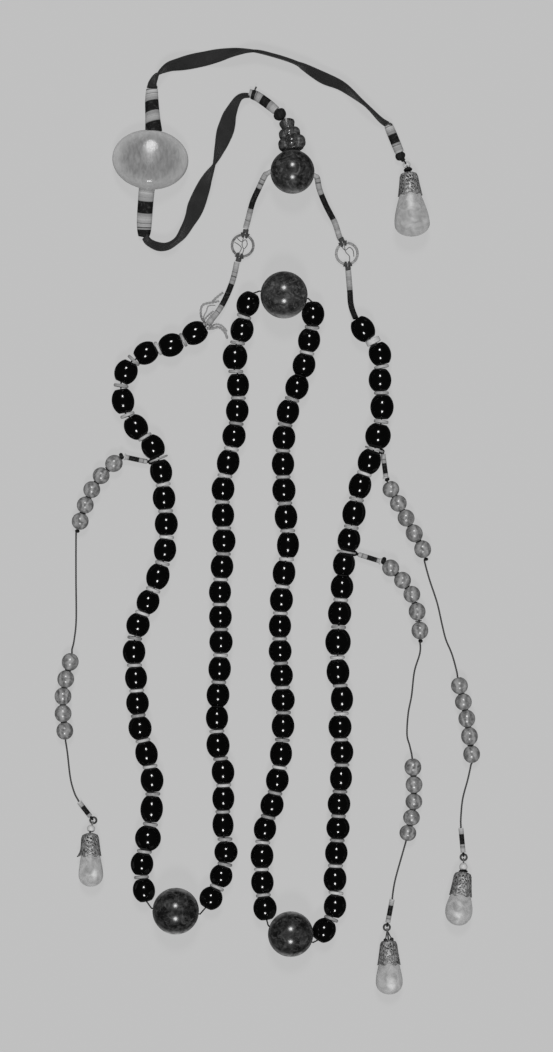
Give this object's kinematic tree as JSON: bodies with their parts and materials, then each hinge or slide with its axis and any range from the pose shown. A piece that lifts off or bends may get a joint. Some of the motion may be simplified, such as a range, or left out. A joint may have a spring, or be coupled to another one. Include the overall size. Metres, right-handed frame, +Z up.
{
  "type": "glass bead necklace",
  "caption": "Long necklace of dark beads and pale spacers with large dividing beads, a ribbon with an oval bead, side strings of smaller beads, and capped drops.",
  "frame": {"origin": "on the surface that the necklace lies on, below the middle of its box", "axes": "+Z up from the surface, +Y from the hanging ends up to the neck, +X to the wearer's left as laid out"},
  "size_m": [0.2129, 0.474, 0.0235],
  "materials": {
    "black_glass": "polished, nearly opaque black",
    "large_glass": "polished dark mottled glass",
    "grey_glass": "polished grey glass with swirled bands",
    "pale_glass": "pale, slightly cloudy glass",
    "pale_stone": "polished, pale, slightly translucent",
    "plaque_stone": "polished and finely speckled",
    "carved_stone": "carved and polished",
    "ribbon_weave": "fine woven silk",
    "wound_cord": "fine thread wound close, with dark bands",
    "dark_cord": "knotted dark silk",
    "pale_thread": "twisted pale silk",
    "wire_metal": "dull twisted wire",
    "washer_metal": "worn",
    "cap_metal": "tarnished, pierced"
  },
  "bodies": {
    "root": {"head_bead": "large_glass", "stupa": "carved_stone", "stupa_knot": "dark_cord", "back_bead": "large_glass", "left_foot_bead": "large_glass", "right_foot_bead": "large_glass", "beads_left_outer": "black_glass", "beads_left_inner": "black_glass", "beads_right_inner": "black_glass", "beads_right_outer": "black_glass", "spacers_left_outer": "pale_glass", "spacers_left_inner": "pale_glass", "spacers_right_inner": "pale_glass", "spacers_right_outer": "pale_glass", "thread_left_outer": "pale_thread", "thread_left_inner": "pale_thread", "thread_right_inner": "pale_thread", "thread_right_outer": "pale_thread", "neck_cord_left_upper": "wound_cord", "neck_cord_left_lower": "wound_cord", "neck_cord_right_upper": "wound_cord", "neck_cord_right_lower": "wound_cord", "neck_ring_left": "wire_metal", "neck_ring_right": "wire_metal", "neck_lashings": "dark_cord", "ribbon_lower": "ribbon_weave", "ribbon_upper": "ribbon_weave", "binding_stupa": "wound_cord", "binding_plaque_below": "wound_cord", "binding_plaque_above": "wound_cord", "binding_drop": "wound_cord", "plaque_bead": "plaque_stone", "string_washers": "washer_metal", "left_string_sleeve_upper": "wound_cord", "left_string_beads": "grey_glass", "left_string_thread": "dark_cord", "left_string_sleeve_lower": "wound_cord", "middle_string_sleeve_upper": "wound_cord", "middle_string_beads": "grey_glass", "middle_string_thread": "dark_cord", "middle_string_sleeve_lower": "wound_cord", "right_string_sleeve_upper": "wound_cord", "right_string_beads": "grey_glass", "right_string_thread": "dark_cord", "right_string_sleeve_lower": "wound_cord", "ribbon_drop_bail": "dark_cord", "ribbon_drop_ring": "wire_metal", "ribbon_drop_cap": "cap_metal", "ribbon_drop_stone": "pale_stone", "left_drop_ring": "wire_metal", "left_drop_bead": "pale_glass", "left_drop_cap": "cap_metal", "left_drop_stone": "pale_stone", "middle_drop_ring": "wire_metal", "middle_drop_cap": "cap_metal", "middle_drop_stone": "pale_stone", "right_drop_ring": "wire_metal", "right_drop_bead": "pale_glass", "right_drop_cap": "cap_metal", "right_drop_stone": "pale_stone"}
  },
  "joints": []
}
